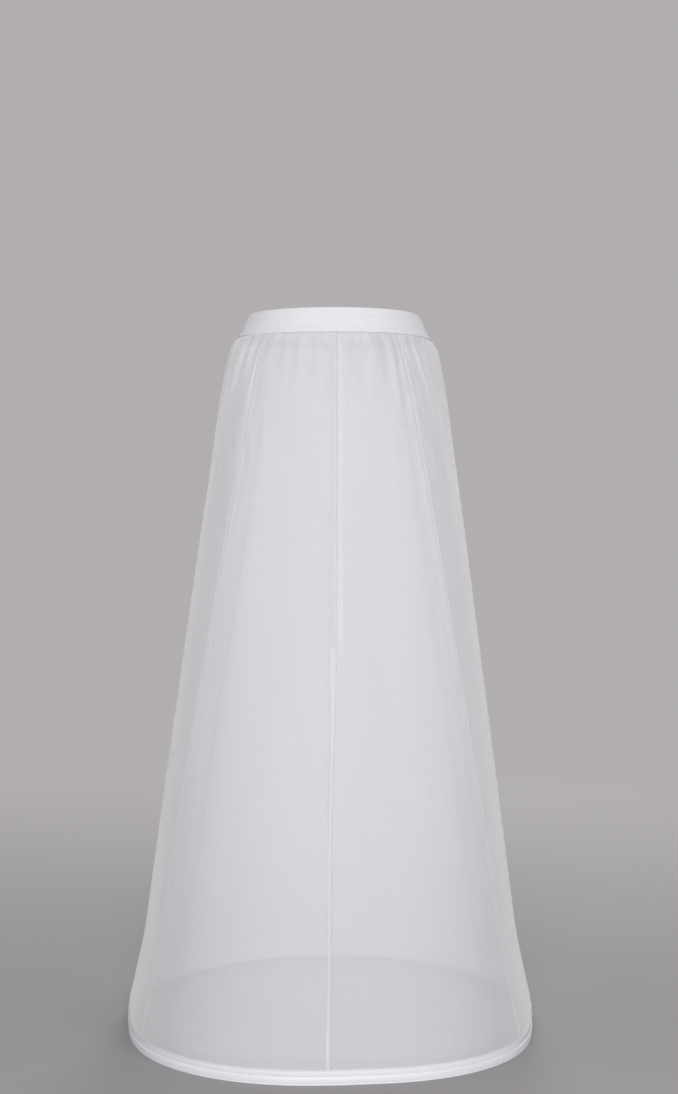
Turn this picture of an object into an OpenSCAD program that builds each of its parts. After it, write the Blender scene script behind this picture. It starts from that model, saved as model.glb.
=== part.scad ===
// Hoop petticoat: six sheer gores gathered into an elastic waistband, held out by one hoop in the hem.
// Millimetres, +Z up, floor at Z 0, centre front towards -Y, right is +X.

/* [Waistband] */
// Width of the top edge of the elastic, side to side
band_top_w = 256; // [220:1:300]
// Depth of the top edge, front to back
band_top_d = 194; // [160:1:240]
// Width of the lower edge, side to side
band_low_w = 289; // [250:1:330]
// Depth of the lower edge, front to back
band_low_d = 222; // [190:1:270]
// Height of the elastic as worn
band_h = 34; // [22:1:60]
// Thickness of the elastic
band_t = 1.6; // [1:0.1:3]
// Height of the thick lower edge
rim_h = 5; // [3:0.5:8]
// How far the thick lower edge stands proud
rim_t = 0.5; // [0.2:0.1:1]
// Length of the lapped join at the centre back
band_lap = 24; // [12:1:40]

/* [Skirt] */
// Height from the floor to the top of the waistband
total_h = 1042; // [900:1:1200]
// Thickness of the sheer cloth with its finish
cloth_t = 0.6; // [0.4:0.1:1]
// Height of cloth tucked up behind the elastic
tuck_h = 12; // [8:1:18]
// How far the cloth swells out below the elastic
swell_out = 17; // [6:1:24]
// Drop over which most of that swelling comes
swell_h = 28; // [15:1:60]
// Extra flare just above the hem
flare_out = 7.5; // [0:0.5:15]
// Height over which the hem flares
flare_h = 130; // [60:5:200]
// How far the seams stand out as ridges at half height
seam_ridge = 6; // [0:0.5:12]
// Angle of the side-front and side-back seams from the centre line, at the waist
turn_waist = 40; // [36:1:60]
// The same angle at the hem
turn_hem = 57; // [50:1:68]
// Width of the pressed seam allowance
seam_w = 9; // [6:1:12]
// Height at which the centre-front allowance flips from one side to the other
flip_z = 556; // [300:1:800]

/* [Gathers] */
// Folds in each front gore
front_folds = 4; // [3:1:6]
// Folds in each side gore
side_folds = 7; // [5:1:9]
// Folds in each back gore
back_folds = 5; // [3:1:7]
// Depth of the folds in a front gore
front_depth = 3; // [1:0.5:6]
// Depth of the folds in a side gore
side_depth = 6; // [2:0.5:9]
// Depth of the folds in a back gore
back_depth = 4.5; // [1:0.5:8]
// Drop below the elastic at which the folds have their full depth
fold_open = 10; // [6:1:20]
// Drop over which the folds then die out
fold_fade = 75; // [40:5:140]
// How much the folds differ in depth and in length, from 0 for all alike
fold_uneven = 0.5; // [0:0.05:0.8]

/* [Hem] */
// Outside diameter of the hem
hem_d = 600; // [500:1:700]
// Height of the casing
casing_h = 20; // [17:0.5:30]
// Thickness of the casing tape
tape_t = 0.8; // [0.5:0.1:1.2]
// Thickness of the folded lower edge that the skirt stands on
hem_fold_t = 1.6; // [1.2:0.1:3]
// Rounding of the edges of the casing
hem_round = 1.2; // [0.6:0.1:1.8]

/* [Hoop] */
// Width of the sprung strip
hoop_w = 7; // [5:0.5:9]
// Thickness of the sprung strip
hoop_t = 1.6; // [1:0.1:2.5]
// Gap between the two ends of the strip
hoop_gap = 2; // [0.5:0.5:6]
// Angle of the joined ends from the centre front, towards the right
join_turn = 75; // [20:1:160]
// Length of the sleeve over the joined ends
sleeve_l = 40; // [20:1:80]
// Wall of the sleeve
sleeve_t = 0.5; // [0.3:0.1:0.8]

/* [Fits] */
// Room between cloth and the tape or elastic it is sewn to
sew_gap = 0.2; // [0.15:0.05:0.4]
// Room between the strip and its sleeve
sleeve_fit = 0.08; // [0.05:0.01:0.2]
// Room between the sleeve and the casing
casing_fit = 0.4; // [0.35:0.05:0.8]

/* [Hidden] */
$fn = 180;

sheer = [0.93, 0.92, 0.95, 0.8];
elastic_white = [0.95, 0.94, 0.96];
tape_white = [0.9, 0.89, 0.92];
strip_white = [0.82, 0.82, 0.84];
sleeve_steel = [0.66, 0.67, 0.69];

// Hem section: a closed channel for the hoop and its sleeve, with a slot above it for the cloth
sleeve_room = sleeve_t + sleeve_fit + casing_fit;
channel_h = hoop_w + sleeve_room;
channel_t = hoop_t + 2 * sleeve_room;
tube_h = hem_fold_t + channel_h + tape_t;
tube_t = channel_t + 2 * tape_t;
slot_t = cloth_t + 2 * sew_gap;
hem_r = (hem_d - tube_t) / 2;

// Heights down the skirt
skirt_top_z = total_h - band_h;
skirt_drop = skirt_top_z - casing_h;
flare_top_z = casing_h + flare_h;
fold_end_z = skirt_top_z - fold_open - 2 * fold_fade;

// Half sizes of the inside of the elastic at a height above its lower edge
function band_half(low, top, h) = (low + (top - low) * h / band_h) / 2 - band_t;
function band_x(h) = band_half(band_low_w, band_top_w, h);
function band_y(h) = band_half(band_low_d, band_top_d, h);

// Half sizes of the outside of the cloth: behind the elastic, down the skirt, then inside the casing
cloth_hem = hem_r + cloth_t / 2;
function fall(z) = max(0, min(1, (skirt_top_z - z) / skirt_drop));
function swell(z) = swell_out * (1 - exp((z - skirt_top_z) / swell_h));
function flare(z) = z > flare_top_z ? 0 : flare_out * (1 + cos(180 * (z - casing_h) / flare_h)) / 2;
function skirt_half(z, start) = start + swell(z) + flare(z)
    + (cloth_hem - start - swell(casing_h) - flare_out) * fall(z);
function cloth_half(z, low, top) = z > skirt_top_z ? band_half(low, top, z - skirt_top_z) - sew_gap
    : z < casing_h ? cloth_hem
    : skirt_half(z, band_half(low, top, 0) - sew_gap);
function cloth_x(z) = cloth_half(z, band_low_w, band_top_w);
function cloth_y(z) = cloth_half(z, band_low_d, band_top_d);

// A point on an oval, moved outwards along the oval's normal
function oval(rx, ry, turn) = [rx * sin(turn), -ry * cos(turn)];
function oval_out(rx, ry, turn) = let (v = [sin(turn) / rx, -cos(turn) / ry]) v / norm(v);
function oval_point(rx, ry, turn, out) = oval(rx, ry, turn) + out * oval_out(rx, ry, turn);

// Seam angles from the centre front, turning with the height
function seam_turn(z) = turn_waist + (turn_hem - turn_waist) * fall(z);
function seam_angle(k, z) = let (t = seam_turn(z)) [0, t, 180 - t, 180, 180 + t, 360 - t, 360][k];

// Rows of a gore: close together in the folds and the flare, far apart between them
fold_rows = 4;
fold_row_spread = 1.6;
fall_rows = 3;
flare_rows = 3;
gore_rows = concat(
    [skirt_top_z + tuck_h, skirt_top_z, skirt_top_z - fold_open],
    [for (i = [1:fold_rows]) skirt_top_z - fold_open - 2 * fold_fade * pow(i / fold_rows, fold_row_spread)],
    [for (i = [1:fall_rows]) fold_end_z + (flare_top_z - fold_end_z) * i / fall_rows],
    [for (i = [1:flare_rows]) flare_top_z - flare_h * i / (flare_rows + 1)],
    [casing_h, tube_h]);

// Columns of a gore: four to a fold, and two at each edge where the allowance keeps its width
fold_cols = 4;
edge_cols = 2;
allowance_step = 0.5;
function gore_arc(k, z) = (cloth_x(z) + cloth_y(z)) / 2
    * (seam_angle(k + 1, z) - seam_angle(k, z)) * PI / 180;
function share(j, n, edge, step) = j == 0 ? 0 : j == 1 ? edge : j == n - 1 ? 1 - edge : j == n ? 1
    : edge + step + (1 - 2 * edge - 2 * step) * (j - edge_cols) / (n - 2 * edge_cols);
function gore_share(k, j, n, z) = share(j, n, seam_w / gore_arc(k, z), allowance_step / gore_arc(k, z));

// Pressed allowances thicken the edges of the front and back gores; the centre-front one changes gores
allowance_plies = 2;
function between_ends(z) = z < skirt_top_z && z > casing_h;
function at_first_edge(k, j, z) = j < edge_cols && [z > flip_z, false, true, true, false, true][k];
function at_last_edge(k, j, n, z) = j > n - edge_cols && [true, false, false, true, false, z <= flip_z][k];
function has_allowance(k, j, n, z) = between_ends(z) && (at_first_edge(k, j, z) || at_last_edge(k, j, n, z));
function gore_wall(k, j, n, z) = cloth_t * (has_allowance(k, j, n, z) ? 1 + allowance_plies : 1);

// Folds are valleys pressed in from the skirt's outer form, uneven in depth and in length
golden_turn = 137.5;
function uneven(i) = 1 - fold_uneven * (1 + sin(golden_turn * i)) / 2;
function fold_number(k, j) = k * (side_folds + 1) + floor((j - edge_cols) / fold_cols);
function fold_wave(j, n) = j < edge_cols || j > n - edge_cols ? 0
    : (1 - cos(360 / fold_cols * (j - edge_cols))) / 2;
function fold_reach(z, fade) = z > skirt_top_z - fold_open ? max(0, (skirt_top_z - z) / fold_open)
    : exp(2 * (z - skirt_top_z + fold_open) / fade);
function fold_in(k, j, n, z, depth) = let (i = fold_number(k, j))
    depth * uneven(i) * fold_wave(j, n) * fold_reach(z, fold_fade * uneven(i + 1));
function ridge_out(u, z) = seam_ridge * (1 - sin(180 * u)) * pow(sin(180 * fall(z)), 2);

function gore_point(k, j, n, z, depth, inwards) = let (
    u = gore_share(k, j, n, z),
    turn = seam_angle(k, z) * (1 - u) + seam_angle(k + 1, z) * u,
    out = ridge_out(u, z) - fold_in(k, j, n, z, depth) - inwards,
    p = oval_point(cloth_x(z), cloth_y(z), turn, out))
    [p.x, p.y, z];

module gore(k, folds, depth) {
    n = fold_cols * folds + 2 * edge_cols;
    rows = len(gore_rows) - 1;
    outer = [for (z = gore_rows) for (j = [0:n]) gore_point(k, j, n, z, depth, 0)];
    inner = [for (z = gore_rows) for (j = [0:n]) gore_point(k, j, n, z, depth, gore_wall(k, j, n, z))];
    back = len(outer);
    w = n + 1;
    outside = [for (i = [0:rows - 1]) for (j = [0:n - 1]) let (p = i * w + j)
        each [[p, p + 1, p + w + 1], [p, p + w + 1, p + w]]];
    inside = [for (f = outside) [back + f[0], back + f[2], back + f[1]]];
    top = [for (j = [0:n - 1]) each [[j, back + j, back + j + 1], [j, back + j + 1, j + 1]]];
    bottom = [for (j = [0:n - 1]) let (p = rows * w + j)
        each [[p, p + 1, back + p + 1], [p, back + p + 1, back + p]]];
    first = [for (i = [0:rows - 1]) let (p = i * w)
        each [[back + p, p, p + w], [back + p, p + w, back + p + w]]];
    last = [for (i = [0:rows - 1]) let (p = i * w + n)
        each [[p, back + p, back + p + w], [p, back + p + w, p + w]]];
    color(sheer) polyhedron(concat(outer, inner), concat(outside, inside, top, bottom, first, last));
}

module front_right_gore() gore(0, front_folds, front_depth);
module side_right_gore() gore(1, side_folds, side_depth);
module back_right_gore() gore(2, back_folds, back_depth);
module back_left_gore() gore(3, back_folds, back_depth);
module side_left_gore() gore(4, side_folds, side_depth);
module front_left_gore() gore(5, front_folds, front_depth);

// Waistband: an oval cone of elastic whose ends lap over each other at the centre back
band_cols = 92;
band_edge = 0.4;
lap_step = 1;
band_profile = [[0, 0], [0, band_h], [band_t - band_edge, band_h], [band_t, band_h - band_edge],
    [band_t, rim_h + band_edge], [band_t + rim_t, rim_h],
    [band_t + rim_t, band_edge], [band_t + rim_t - band_edge, 0]];
lap_turn = asin(band_lap / 2 / band_x(0));
lap_end_turn = asin((band_lap / 2 + lap_step) / band_x(0));
band_turns = concat(
    [for (i = [0:band_cols]) 180 + lap_end_turn + i * (360 - 2 * lap_end_turn) / band_cols],
    [540 - lap_turn, 540, 540 + lap_turn]);
function lap_out(i, out) = i > band_cols && out > 0 ? out + band_t : out;
function band_point(i, out, h) = let (p = oval_point(band_x(h), band_y(h), band_turns[i], lap_out(i, out)))
    [p.x, p.y, skirt_top_z + h];

module waistband() {
    sides = len(band_profile);
    cols = len(band_turns);
    points = [for (i = [0:cols - 1]) for (p = band_profile) band_point(i, p.x, p.y)];
    faces = [for (i = [0:cols - 1]) for (s = [0:sides - 1])
        let (a = i * sides, b = (i + 1) % cols * sides, t = (s + 1) % sides)
        each [[a + s, b + s, b + t], [a + s, b + t, a + t]]];
    color(elastic_white) polyhedron(points, faces);
}

// Sweeps a section round the hem from one angle to another; X 0 of the section is the middle of the strip
module round_hem(from, to) rotate([0, 0, from - 90])
    rotate_extrude(angle = to - from) translate([hem_r, 0]) children();

// Half the angle that a length takes up round the hem
function half_turn(length) = length / 2 / hem_r * 180 / PI;

// Hem casing: a tape folded up round the hoop, its two edges either side of the cloth
module casing_leg(x) {
    translate([x, tube_h - tape_t]) square([tape_t, casing_h - tube_h + tape_t / 2]);
    translate([x + tape_t / 2, casing_h - tape_t / 2]) circle(d = tape_t);
}

module tube_section() {
    flat_t = tube_t - 2 * hem_round;
    flat_h = tube_h - 2 * hem_round;
    translate([-flat_t / 2, 0]) square([flat_t, tube_h]);
    translate([-tube_t / 2, hem_round]) square([tube_t, flat_h]);
    for (x = [-flat_t / 2, flat_t / 2], y = [hem_round, hem_round + flat_h])
        translate([x, y]) circle(r = hem_round);
}

module channel_section() translate([-channel_t / 2, hem_fold_t]) square([channel_t, channel_h]);

module casing_section() {
    difference() {
        tube_section();
        channel_section();
    }
    casing_leg(-slot_t / 2 - tape_t);
    casing_leg(slot_t / 2);
}

// Room under the strip for the lower wall of the sleeve, between the walls of the channel
module pocket_section() {
    pocket_t = hoop_t + 2 * (sleeve_fit + sleeve_t + sleeve_fit);
    translate([-pocket_t / 2, hem_fold_t - sleeve_room]) square([pocket_t, 2 * sleeve_room]);
}

module hem_casing() {
    pocket_turn = half_turn(sleeve_l + 2 * casing_fit);
    color(tape_white) difference() {
        round_hem(0, 360) casing_section();
        round_hem(join_turn - pocket_turn, join_turn + pocket_turn) pocket_section();
    }
}

// Hoop: a flat strip on edge in the casing, its ends a small gap apart inside the sleeve
module hoop() {
    gap_turn = half_turn(hoop_gap);
    color(strip_white) round_hem(join_turn + gap_turn, join_turn - gap_turn + 360)
        translate([-hoop_t / 2, hem_fold_t]) square([hoop_t, hoop_w]);
}

module hoop_joiner() {
    sleeve_turn = half_turn(sleeve_l);
    bore = [hoop_t + 2 * sleeve_fit, hoop_w + 2 * sleeve_fit];
    color(sleeve_steel) round_hem(join_turn - sleeve_turn, join_turn + sleeve_turn)
        translate([0, hem_fold_t + hoop_w / 2]) difference() {
            square([bore.x + 2 * sleeve_t, bore.y + 2 * sleeve_t], center = true);
            square(bore, center = true);
        }
}

waistband();
front_right_gore();
side_right_gore();
back_right_gore();
back_left_gore();
side_left_gore();
front_left_gore();
hem_casing();
hoop();
hoop_joiner();
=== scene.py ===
import math
import random

import bmesh
import bpy
import numpy as np
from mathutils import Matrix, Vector


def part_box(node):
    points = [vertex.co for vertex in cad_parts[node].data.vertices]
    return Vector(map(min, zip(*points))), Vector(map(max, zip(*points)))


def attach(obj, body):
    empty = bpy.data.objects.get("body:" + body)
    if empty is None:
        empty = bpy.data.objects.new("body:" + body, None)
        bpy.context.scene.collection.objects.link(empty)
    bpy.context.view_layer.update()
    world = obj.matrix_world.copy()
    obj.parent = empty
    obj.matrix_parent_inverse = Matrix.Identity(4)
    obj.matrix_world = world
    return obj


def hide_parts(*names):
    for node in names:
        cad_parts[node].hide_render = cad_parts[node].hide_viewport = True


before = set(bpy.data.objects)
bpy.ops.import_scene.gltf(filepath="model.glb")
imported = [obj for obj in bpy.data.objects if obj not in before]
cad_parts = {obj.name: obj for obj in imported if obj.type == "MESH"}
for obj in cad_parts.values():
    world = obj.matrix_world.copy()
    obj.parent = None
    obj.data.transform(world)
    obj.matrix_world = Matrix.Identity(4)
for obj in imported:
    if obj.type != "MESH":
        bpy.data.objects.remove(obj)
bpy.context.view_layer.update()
mm = 0.001
print("frame loaded:", len(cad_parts), "nodes")


def addObject(name, data):
    made = bpy.data.objects.new(name, data)
    bpy.context.scene.collection.objects.link(made)
    return made


bandLow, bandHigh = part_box("waistband")
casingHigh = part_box("hem_casing")[1]

# Form of the skirt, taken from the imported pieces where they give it
skirt = {
    "topZ": bandLow.z,  # lower edge of the elastic
    "hemZ": casingHigh.z,  # top edge of the casing
    "tuck": 12 * mm,  # cloth behind the elastic
    "halfWidth": bandHigh.x - 1.8 * mm,  # inside the elastic
    "halfDepth": -bandLow.y - 1.8 * mm,
    "hemRadius": casingHigh.x - 2.3 * mm,  # middle of the casing
    "bottomZ": 10.8 * mm,  # cloth ends in the slot of the casing
    "bandLean": 0.46,  # the elastic leans in above its lower edge
    "swellOut": 15.5 * mm,
    "swellDrop": 28 * mm,
    "flareOut": 7.5 * mm,
    "flareHeight": 130 * mm,
    "ridge": 9 * mm,  # seams stand out between waist and hem
    "seamWaist": math.radians(40),
    "seamShift": math.radians(1.5),  # both front seams hang a little to the left at the waist
    "seamHem": math.radians(57),
    "frontWaist": math.radians(1.7),  # the centre-front seam hangs a little to the right
    "frontHem": math.radians(0.4),
    "frontSwing": (0.4, 0.75),
    "corners": ((48, 21 * mm, 40, 31), (-44, 17.5 * mm, 46, 34)),  # angle, reach, inner and outer width
    "cornerPower": 1.4,  # the sprung hoop is a little square in front
    "waveOut": 4.4 * mm,  # slack in the lower cloth
    "waves": (7, 11, 16, 23),
    "waveTwist": 6,
    "waveFade": 1.5,
    "puffOut": 1.3 * mm,  # cloth stands out over the top edge of the casing
    "puffUp": 12 * mm,
    "puffRun": 11 * mm,
    "lean": 6.5 * mm,  # the waist sits a little to the right of the hem
    "dip": 5.4 * mm,  # and lower in front than at the sides
    "dipPower": 1.2,
    "dipRun": 0.12,
    "dipFade": 1.5,
    "sideDip": 4 * mm,  # the elastic sags at the right end
    "sideDipAt": (80, 24),  # angle and width
    "shoulderIn": 6.5 * mm,  # and the cloth hangs flatter there
    "shoulderDrop": 32 * mm,
    "clothThick": 0.4 * mm,
    "seed": 11,
}


# Angle 0 is the centre front, and it grows towards +X
def ovalPoint(halfX, halfY, turn, out):
    across, along = np.sin(turn) / halfX, -np.cos(turn) / halfY
    size = np.hypot(across, along)
    return halfX * np.sin(turn) + out * across / size, -halfY * np.cos(turn) + out * along / size


def fall(z):
    return np.clip((skirt["topZ"] - z) / (skirt["topZ"] - skirt["hemZ"]), 0, 1)


def smoothStep(value, low, high):
    t = np.clip((value - low) / (high - low), 0, 1)
    return t * t * (3 - 2 * t)


def skirtHalf(z, start):
    below = np.maximum(skirt["topZ"] - z, 0)
    swell = skirt["swellOut"] * (1 - np.exp(-below / skirt["swellDrop"]))
    lift = np.clip((z - skirt["hemZ"]) / skirt["flareHeight"], 0, 1)
    flare = skirt["flareOut"] * (1 + np.cos(np.pi * lift)) / 2
    spread = skirt["hemRadius"] - start - skirt["swellOut"] - skirt["flareOut"]
    taper = np.maximum(z - skirt["topZ"], 0) * skirt["bandLean"]
    return start + swell + flare + spread * fall(z) - taper


def squareOut(turn):
    out = np.zeros_like(turn)
    for at, reach, inner, outer in skirt["corners"]:
        away = (np.degrees(turn) - at + 180) % 360 - 180
        half = np.where(away * at < 0, inner, outer)
        share = np.clip(np.abs(away) / half, 0, 1)
        out = out + reach * np.clip(np.cos(np.pi / 2 * share), 0, 1) ** skirt["cornerPower"]
    return out


# The hoop is kinked where its ends join, and casing and cloth follow it
hoopJoin = {
    "turn": math.radians(75),
    "kinkOut": 1.2 * mm,
    "kinkRun": 22 * mm,
    "kinkFade": 20,  # keeps the kink close to the hem
    "gap": 2 * mm,
    "sleeve": 40 * mm,
}


def kinkOut(turn):
    away = np.abs((turn - hoopJoin["turn"] + np.pi) % (2 * np.pi) - np.pi) * skirt["hemRadius"]
    return hoopJoin["kinkOut"] * np.exp(-away / hoopJoin["kinkRun"])


def frontDip(turn):
    at, wide = skirt["sideDipAt"]
    rightEnd = np.exp(-((np.degrees(turn) - at) / wide) ** 2)
    return skirt["dip"] * np.clip(np.cos(turn), 0, 1) ** skirt["dipPower"] + skirt["sideDip"] * rightEnd


def shoulderIn(turn, z):
    below = np.maximum(skirt["topZ"] - z, 0) / skirt["shoulderDrop"]
    return skirt["shoulderIn"] * (below * np.exp(1 - below))[:, None] * np.clip(np.sin(turn), 0, 1) ** 2


def seamTurns(z):
    t = skirt["seamWaist"] + (skirt["seamHem"] - skirt["seamWaist"]) * fall(z)
    shift = skirt["seamShift"] * (1 - fall(z))
    swing = smoothStep(fall(z), *skirt["frontSwing"])
    front = skirt["frontWaist"] + (skirt["frontHem"] - skirt["frontWaist"]) * swing
    back = np.full_like(t, np.pi)
    right, left = t - shift, 2 * np.pi - t - shift
    return np.stack([front, right, np.pi - t, back, np.pi + t, left, front + 2 * np.pi], -1)


# Gores in order round the skirt, with the gathers that each one takes
gores = [
    {"node": "front_right_gore", "cols": 60, "folds": 8, "depth": 2.2 * mm, "drop": 38 * mm},
    {"node": "side_right_gore", "cols": 96, "folds": 15, "depth": 3.6 * mm, "drop": 80 * mm},
    {"node": "back_right_gore", "cols": 60, "folds": 9, "depth": 3.2 * mm, "drop": 65 * mm},
    {"node": "back_left_gore", "cols": 60, "folds": 9, "depth": 3.2 * mm, "drop": 65 * mm},
    {"node": "side_left_gore", "cols": 96, "folds": 15, "depth": 3.6 * mm, "drop": 80 * mm},
    {"node": "front_left_gore", "cols": 60, "folds": 8, "depth": 2.2 * mm, "drop": 38 * mm},
]
gatherSettings = {
    "open": 16 * mm,  # drop at which a fold has its full depth
    "openPower": 0.7,
    "uneven": 0.45,
    "width": (0.75, 1.1),
    "deepen": 1.5,
    "aslant": 0.5,  # a fold runs a little aslant
    "seamFlat": 0.06,  # the seams hold the cloth flat
    "fullness": 1.16,  # cut width of the cloth over the length of the elastic
    "fullDrop": 30 * mm,
    "fitRange": (0.2, 0.75),  # heights between which the gores are straight
    "relaxLow": 0.70,  # height at which the gathers have died out
    "heldTop": 5,  # rows that the elastic and the plain cloth hold
    "heldLow": 3,
    "frames": 26,
    "smooth": 2,
    "seed": 4,
}
rowSettings = {
    "hang": 90,
    "even": 0.2,
    "bunch": 2.2,  # rows close together in the gathers
    "hemEdge": 16 * mm,
    "tuck": (1.0, 0.7, 0.4, 0.15),  # shares of the cloth behind the elastic
    "hem": (9.0, 4.0, 1.0, -3.0),  # over the top edge of the casing, in mm
}
topRow = len(rowSettings["tuck"])  # row at the lower edge of the elastic


def skirtRows():
    steps = np.linspace(0, 1, rowSettings["hang"])
    drop = rowSettings["even"] * steps + (1 - rowSettings["even"]) * steps ** rowSettings["bunch"]
    hemEdge = skirt["hemZ"] + rowSettings["hemEdge"]
    hang = skirt["topZ"] - drop * (skirt["topZ"] - hemEdge)
    tuck = skirt["topZ"] + skirt["tuck"] * np.array(rowSettings["tuck"])
    hem = skirt["hemZ"] + np.array(rowSettings["hem"]) * mm
    return np.concatenate([tuck, hang, hem, [skirt["bottomZ"]]])


def columnTurns(z):
    seams = seamTurns(z)
    columns = []
    for k, gore in enumerate(gores):
        share = np.arange(gore["cols"]) / gore["cols"]
        columns.append(seams[:, k, None] * (1 - share) + seams[:, k + 1, None] * share)
    return np.concatenate(columns, 1)


def columnShares():
    return np.concatenate([np.arange(g["cols"]) / g["cols"] for g in gores])


def gatherOut(z):
    rng = random.Random(gatherSettings["seed"])
    uneven, aslant = gatherSettings["uneven"], gatherSettings["aslant"]
    below = np.maximum(skirt["topZ"] - z, 0)[:, None]
    rise = np.clip(below / gatherSettings["open"], 0, 1) ** gatherSettings["openPower"]
    parts = []
    for gore in gores:
        share = (np.arange(gore["cols"]) / gore["cols"])[None, :]
        edge = np.clip(np.minimum(share, 1 - share) / gatherSettings["seamFlat"], 0, 1)
        out = -gore["depth"] * np.exp(-below / gore["drop"]) * np.ones_like(share)
        for i in range(gore["folds"]):
            centre = (i + 0.5 + rng.uniform(-uneven, uneven)) / gore["folds"]
            half = rng.uniform(*gatherSettings["width"]) / gore["folds"]
            depth = gore["depth"] * rng.uniform(1 - uneven, 1 + uneven) * gatherSettings["deepen"]
            drop = gore["drop"] * rng.uniform(1 - uneven, 1 + uneven)
            lean = rng.uniform(-aslant, aslant)
            x = np.clip(np.abs(share - centre - lean * below) / half, 0, 1)
            out = out + depth * np.cos(np.pi * x / 2) ** 2 * np.exp(-below / drop)
        parts.append(out * rise * edge)
    return np.concatenate(parts, 1)


def slackOut(turn, z):
    rng = random.Random(skirt["seed"])
    out = np.zeros_like(turn)
    for waves in skirt["waves"]:
        twist, phase = rng.uniform(-skirt["waveTwist"], skirt["waveTwist"]), rng.uniform(0, 2 * np.pi)
        out = out + np.cos(waves * turn + twist * z[:, None] + phase) / waves
    return out * skirt["waveOut"] * (np.sin(np.pi * fall(z)) ** skirt["waveFade"])[:, None]


def skirtGrid(gathers, scale=1.0):
    z = skirtRows()
    turn, share = columnTurns(z), columnShares()[None, :]
    ridge = skirt["ridge"] * (1 - np.sin(np.pi * share)) * np.sin(np.pi * fall(z))[:, None]
    puff = skirt["puffOut"] * np.exp(-((z - skirt["hemZ"] - skirt["puffUp"]) / skirt["puffRun"]) ** 2)
    kink = kinkOut(turn) * (fall(z) ** hoopJoin["kinkFade"])[:, None]
    square = squareOut(turn) * fall(z)[:, None] + kink
    out = ridge + square + slackOut(turn, z) + puff[:, None] - shoulderIn(turn, z)
    if gathers:
        out = out + gatherOut(z)
    halfX, halfY = (skirtHalf(z, skirt[side]) * scale for side in ("halfWidth", "halfDepth"))
    x, y = ovalPoint(halfX[:, None], halfY[:, None], turn, out)
    x = x + skirt["lean"] * (1 - fall(z))[:, None]
    dipShare = np.clip(1 - (skirt["topZ"] - z) / skirt["dipRun"], 0, 1) ** skirt["dipFade"]
    return np.stack([x, y, z[:, None] - frontDip(turn) * dipShare[:, None]], -1)


# Creases that show in front: angle, lean for each metre down, depth, half width and run
creases = [
    (-32, -260, 1.1 * mm, 3.2 * mm, 26 * mm), (-13, 220, 1.0 * mm, 2.6 * mm, 34 * mm),
    (17.5, 0, 1.0 * mm, 4.0 * mm, 20 * mm), (24, 30, 1.3 * mm, 2.6 * mm, 24 * mm),
    (50, 20, 1.6 * mm, 4.0 * mm, 120 * mm), (57, 25, 3.0 * mm, 4.0 * mm, 150 * mm),
    (66, 25, 3.0 * mm, 4.5 * mm, 160 * mm), (-49, -20, 1.8 * mm, 4.0 * mm, 110 * mm),
    (-56, -25, 2.0 * mm, 3.8 * mm, 100 * mm), (-64, -25, 2.2 * mm, 4.5 * mm, 140 * mm),
    (-22, -60, 0.7 * mm, 3.0 * mm, 16 * mm), (35, 40, 0.8 * mm, 3.4 * mm, 22 * mm),
    (7, 0, 0.6 * mm, 3.0 * mm, 14 * mm),
]
roll = {  # cloth bulges just under the elastic
    "out": 1.5 * mm,
    "drop": 1.2 * mm,
    "run": 30 * mm,
    "creaseStart": 5 * mm,
}
puckers = {  # small ones all round, where the gathers are sewn in
    "pitch": 7.5 * mm,
    "shift": 0.4,
    "lean": 150,
    "depth": 0.55 * mm,
    "depthRange": (0.4, 1.4),
    "half": 2.8 * mm,
    "halfRange": (0.8, 1.3),
    "run": 9 * mm,
    "runRange": (0.6, 2.0),
    "seed": 8,
}


def allCreases():
    rng = random.Random(puckers["seed"])
    found = list(creases)
    count = int(2 * math.pi * skirt["halfWidth"] / puckers["pitch"])
    for i in range(count):
        turn = 360 * (i + rng.uniform(-puckers["shift"], puckers["shift"])) / count
        deep = puckers["depth"] * rng.uniform(*puckers["depthRange"]) * rng.choice((-1, 1))
        half = puckers["half"] * rng.uniform(*puckers["halfRange"])
        lean = rng.uniform(-puckers["lean"], puckers["lean"])
        found.append((turn, lean, deep, half, puckers["run"] * rng.uniform(*puckers["runRange"])))
    return found


def unitNormals(down, across):
    normal = np.cross(down, across)
    return normal / np.maximum(np.linalg.norm(normal, axis=-1, keepdims=True), 1e-12)


def ringNormals(points):
    return unitNormals(np.gradient(points, axis=0), np.roll(points, -1, 1) - np.roll(points, 1, 1))


def outwardNormals(points):
    return unitNormals(np.gradient(points, axis=0), np.gradient(points, axis=1))


def addCreases(points):
    below = np.maximum(skirt["topZ"] - skirtRows(), 0)[:, None]
    turn = np.arctan2(points[..., 0] - skirt["lean"], -points[..., 1])
    reach = np.hypot(points[..., 0], points[..., 1])
    out = np.zeros_like(turn)
    for at, lean, deep, half, run in allCreases():
        away = turn - np.radians(at + lean * below)
        away = ((away + np.pi) % (2 * np.pi) - np.pi) * reach
        out = out + deep * np.exp(-(away / half) ** 2 - (below / run) ** 2)
    out = out * np.clip(below / roll["creaseStart"], 0, 1)
    bulge = roll["out"] * (1 - np.exp(-below / roll["drop"])) * np.exp(-below / roll["run"])
    return points + ringNormals(points) * (out + bulge)[..., None]


def ringLengths(points):
    return np.linalg.norm(np.roll(points, -1, 1) - points, axis=-1).sum(1)


def wrapFaces(rows, cols):
    i, j = np.meshgrid(np.arange(rows - 1), np.arange(cols), indexing="ij")
    a, b = i * cols + j, i * cols + (j + 1) % cols
    return np.stack([a, a + cols, b + cols, b], -1).reshape(-1, 4)


relaxSettings = {
    "quality": 6,
    "mass": 0.02,
    "tension_stiffness": 12,
    "compression_stiffness": 12,
    "shear_stiffness": 4,
    "bending_stiffness": 0.5,
    "tension_damping": 12,
    "compression_damping": 12,
    "shear_damping": 12,
    "air_damping": 4,
    "vertex_group_mass": "held",
}


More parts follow.
